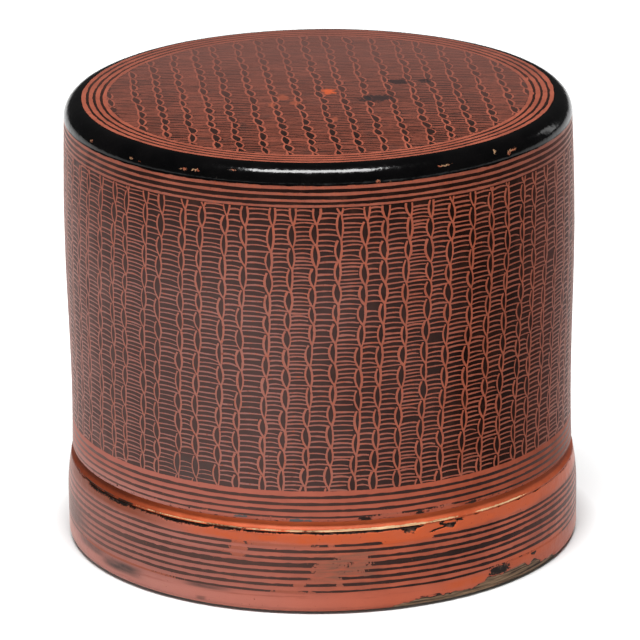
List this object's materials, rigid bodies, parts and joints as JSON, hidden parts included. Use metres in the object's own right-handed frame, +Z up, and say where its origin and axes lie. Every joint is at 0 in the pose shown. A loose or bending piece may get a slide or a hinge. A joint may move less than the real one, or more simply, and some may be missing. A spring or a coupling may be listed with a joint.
{
  "type": "lacquer betel box",
  "caption": "Round lidded box of lacquered split bamboo, its deep engraved lid sliding over a straight body that holds stacked lift-out trays above a well.",
  "frame": {"origin": "centre of the foot, on the surface that the box stands on", "axes": "+Z up along the box's axis; the box is round, so +X and +Y are free"},
  "size_m": [0.1248, 0.1248, 0.1101],
  "materials": {
    "bamboo": "split bamboo, wound and glued, bare",
    "red_lacquer": "plain cinnabar lacquer, satin",
    "lined_lacquer": "cinnabar lacquer with dark engraved lines, worn",
    "engraved_lacquer": "black lacquer engraved, filled with cinnabar and polished",
    "black_lacquer": "plain black lacquer, gloss"
  },
  "bodies": {
    "base": {"foot_ring": "bamboo", "body_floor": "bamboo", "underside_coat": "black_lacquer", "body_wall": "bamboo", "body_rim": "red_lacquer", "body_coat": "red_lacquer", "body_lining": "red_lacquer", "band_hoop": "bamboo", "band_coat": "lined_lacquer", "ledge_hoop": "red_lacquer", "tray_ledge": "red_lacquer"},
    "lower_tray": {"lower_tray_floor": "bamboo", "lower_tray_wall": "bamboo", "lower_tray_rim": "red_lacquer", "lower_tray_coat": "red_lacquer", "lower_tray_lining": "red_lacquer"},
    "upper_tray": {"upper_tray_floor": "bamboo", "upper_tray_wall": "bamboo", "upper_tray_rim": "red_lacquer", "upper_tray_coat": "red_lacquer", "upper_tray_lining": "red_lacquer"},
    "lid": {"lid_wall": "bamboo", "lid_mouth_hoop": "bamboo", "lid_shoulder_hoop": "bamboo", "lid_top_panel": "bamboo", "lid_wall_coat": "engraved_lacquer", "lid_shoulder_coat": "black_lacquer", "lid_top_coat": "engraved_lacquer", "lid_lining": "red_lacquer"}
  },
  "joints": [
    {"name": "lower_tray_lift", "type": "slide", "parent": "base", "child": "lower_tray", "axis": [0, 0, 1], "range_m": [0, 0.075]},
    {"name": "upper_tray_lift", "type": "slide", "parent": "lower_tray", "child": "upper_tray", "axis": [0, 0, 1], "range_m": [0, 0.045]},
    {"name": "lid_lift", "type": "slide", "parent": "upper_tray", "child": "lid", "axis": [0, 0, 1], "range_m": [0, 0.105]}
  ]
}
